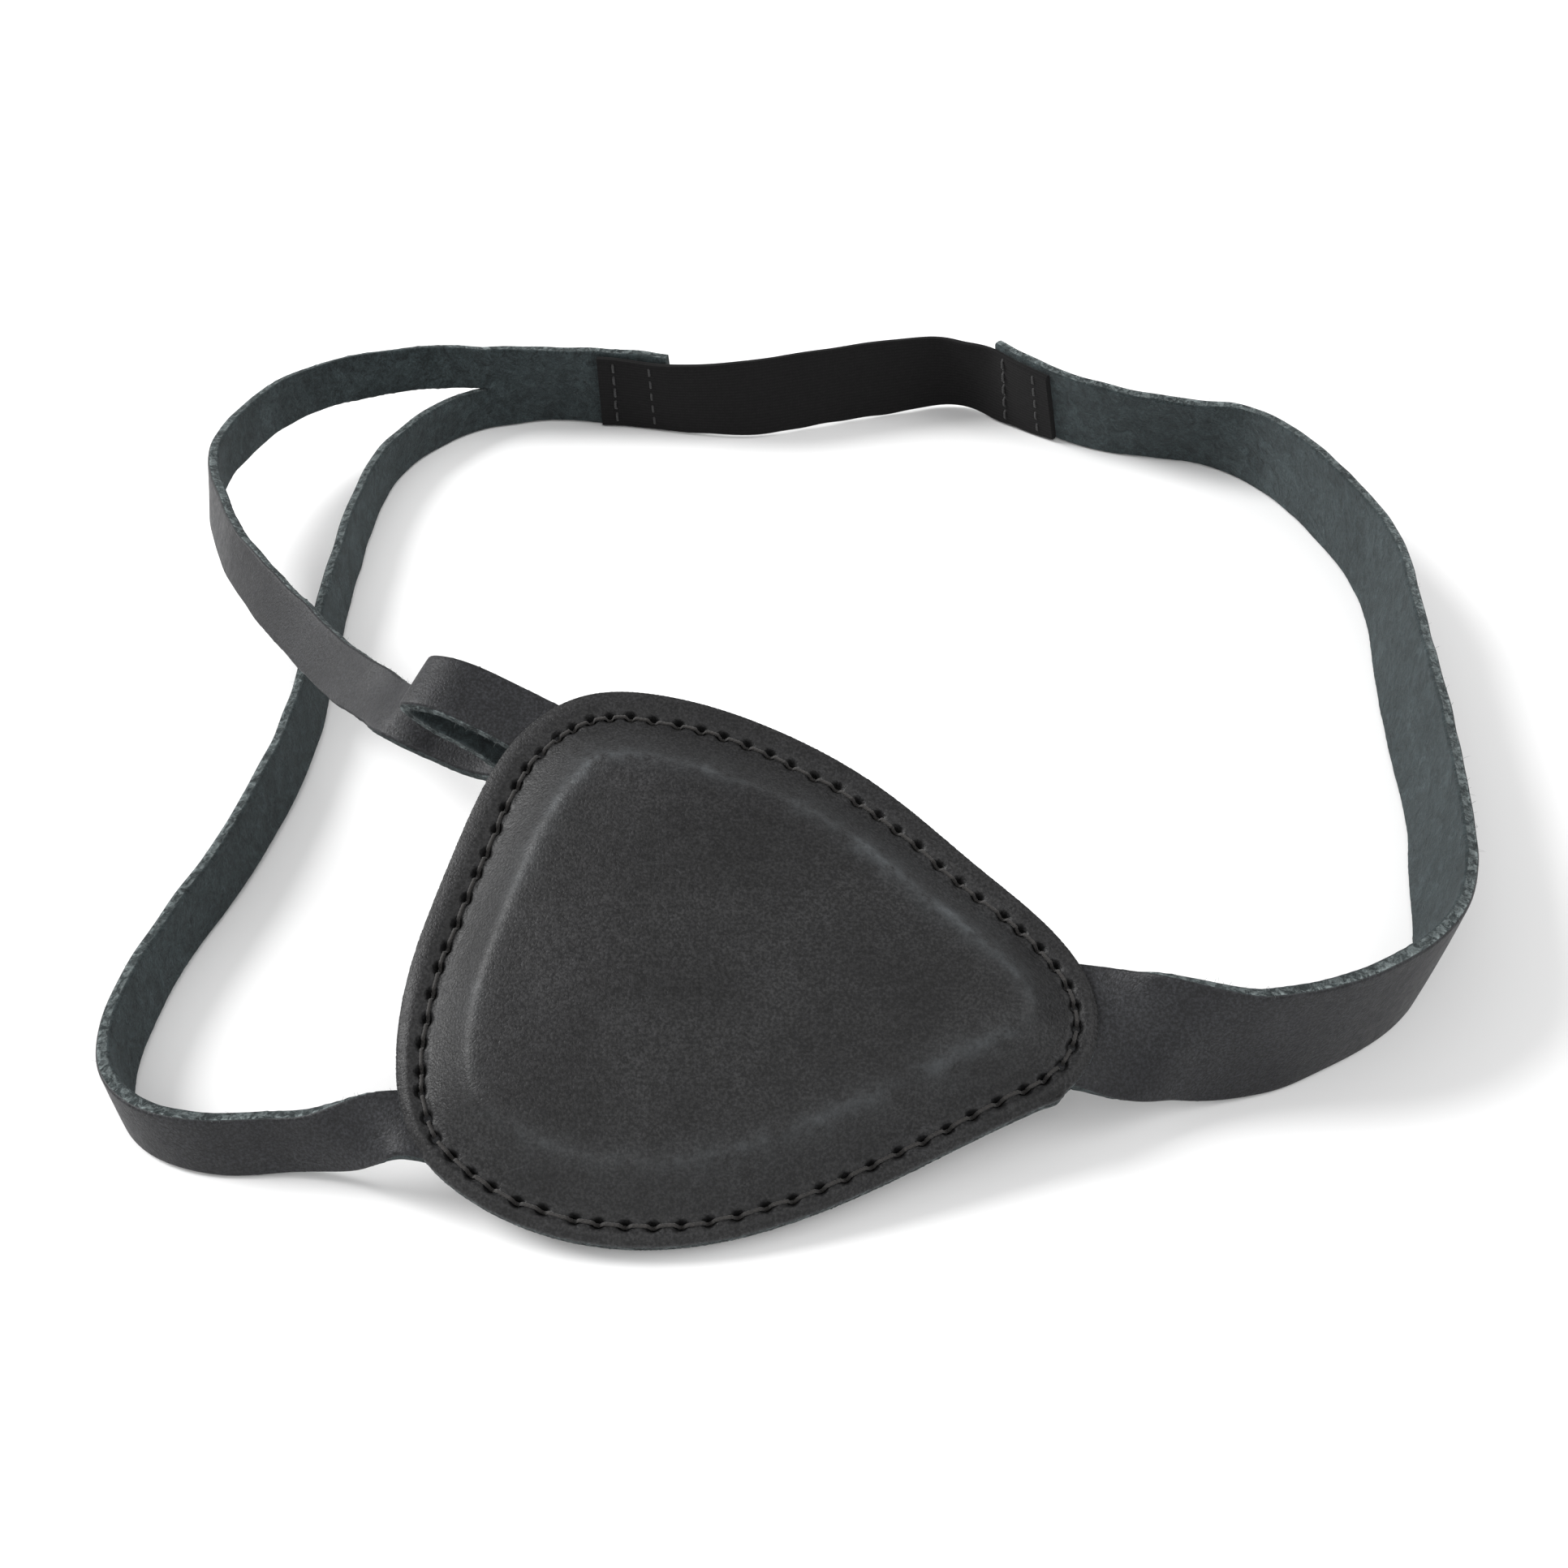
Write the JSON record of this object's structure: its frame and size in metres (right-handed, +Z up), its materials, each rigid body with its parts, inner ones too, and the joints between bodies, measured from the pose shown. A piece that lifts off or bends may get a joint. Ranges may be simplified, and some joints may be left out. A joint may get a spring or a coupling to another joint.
{
  "type": "eye patch",
  "caption": "Domed leather eye patch with a stitched rim on a head strap that is slit on one side and closed by an elastic band.",
  "frame": {"origin": "on the table, under the middle of the object's bounding box", "axes": "+Z up, -Y towards the patch's front, +X to the right of someone who looks at the patch's front; the patch is at the front and the elastic at the back"},
  "size_m": [0.1632, 0.1795, 0.0306],
  "materials": {
    "shell_leather": "satin dark grey leather, fine grain",
    "lining_leather": "matte dark lining leather",
    "strap_leather": "satin dark grey grain side, matte suede flesh side",
    "elastic_webbing": "black woven elastic, matte",
    "sewing_thread": "dark twisted thread"
  },
  "bodies": {
    "patch": {"front_shell": "shell_leather", "back_lining": "lining_leather", "shell_thread": "sewing_thread", "lining_thread": "sewing_thread", "right_strap_root": "strap_leather", "left_strap": "strap_leather", "elastic_band": "elastic_webbing", "left_lap_outer_thread": "sewing_thread", "left_lap_inner_thread": "sewing_thread"},
    "right_side": {"right_strap": "strap_leather", "right_lap_outer_thread": "sewing_thread", "right_lap_inner_thread": "sewing_thread"}
  },
  "joints": [
    {"name": "loop_stretch", "type": "hinge", "parent": "patch", "child": "right_side", "pos_m": [0.04332, -0.06905, 0.00712], "axis": [0, 0, -1], "range_deg": [0, 8], "stiffness_Nm_per_rad": 1.5, "deforming": ["elastic_band"]}
  ]
}
